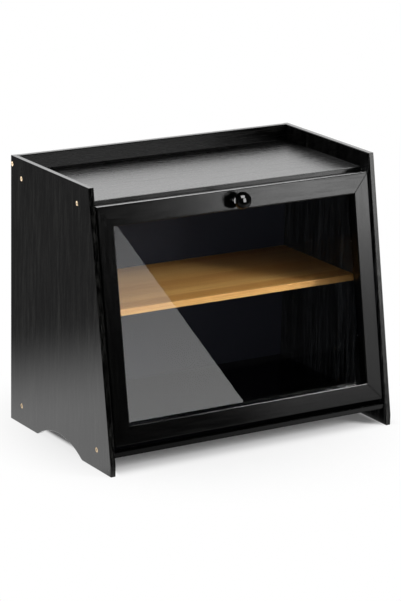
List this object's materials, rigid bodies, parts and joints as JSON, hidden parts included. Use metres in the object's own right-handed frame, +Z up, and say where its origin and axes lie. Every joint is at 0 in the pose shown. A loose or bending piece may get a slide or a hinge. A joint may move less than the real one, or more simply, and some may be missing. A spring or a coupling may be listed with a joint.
{
  "type": "countertop bread display bin",
  "caption": "Black two-tier countertop bread bin with sloping side panels, a glazed drop-down door with a ball knob, a loose bamboo shelf and a lipped tray on top.",
  "frame": {"origin": "on the counter, under the middle of the box", "axes": "+X to the right seen from the front, +Y towards the back, +Z up"},
  "size_m": [0.39, 0.24, 0.325],
  "materials": {
    "black_stained_wood": "open-grain wood under satin black stain and lacquer",
    "bamboo": "edge-glued natural bamboo strips, satin lacquer",
    "clear_pane": "clear polished pane",
    "gloss_knob": "gloss black ball",
    "brass_screw": "yellow-plated countersunk screws",
    "zinc_steel": "bright zinc plate",
    "nickel": "nickel-plated magnet discs",
    "nylon": "moulded black nylon"
  },
  "bodies": {
    "carcass": {"side_panel_left": "black_stained_wood", "side_panel_right": "black_stained_wood", "top_board": "black_stained_wood", "bottom_board": "black_stained_wood", "back_rail": "black_stained_wood", "back_panel": "black_stained_wood", "door_stop": "black_stained_wood", "side_screws_left": "brass_screw", "side_screws_right": "brass_screw", "door_stop_screws": "zinc_steel", "shelf_pins_left": "zinc_steel", "shelf_pins_right": "zinc_steel", "stop_magnets": "nickel", "pivot_bush_left": "nylon", "pivot_bush_right": "nylon"},
    "door": {"door_stile_left": "black_stained_wood", "door_stile_right": "black_stained_wood", "door_top_rail": "black_stained_wood", "door_bottom_rail": "black_stained_wood", "window_pane": "clear_pane", "glazing_bead_low": "black_stained_wood", "glazing_bead_high": "black_stained_wood", "glazing_bead_left": "black_stained_wood", "glazing_bead_right": "black_stained_wood", "glazing_pins": "zinc_steel", "knob": "gloss_knob", "knob_screw": "zinc_steel", "door_magnets": "nickel", "pivot_pin_left": "zinc_steel", "pivot_pin_right": "zinc_steel"},
    "shelf": {"shelf": "bamboo"}
  },
  "joints": [
    {"name": "door_drop", "type": "hinge", "parent": "carcass", "child": "door", "pos_m": [0, -0.10575, 0.03816], "axis": [1, 0, 0], "range_deg": [0, 101.8]},
    {"name": "shelf_lift", "type": "slide", "parent": "carcass", "child": "shelf", "axis": [0, 0, 1], "range_m": [0, 0.1]}
  ]
}
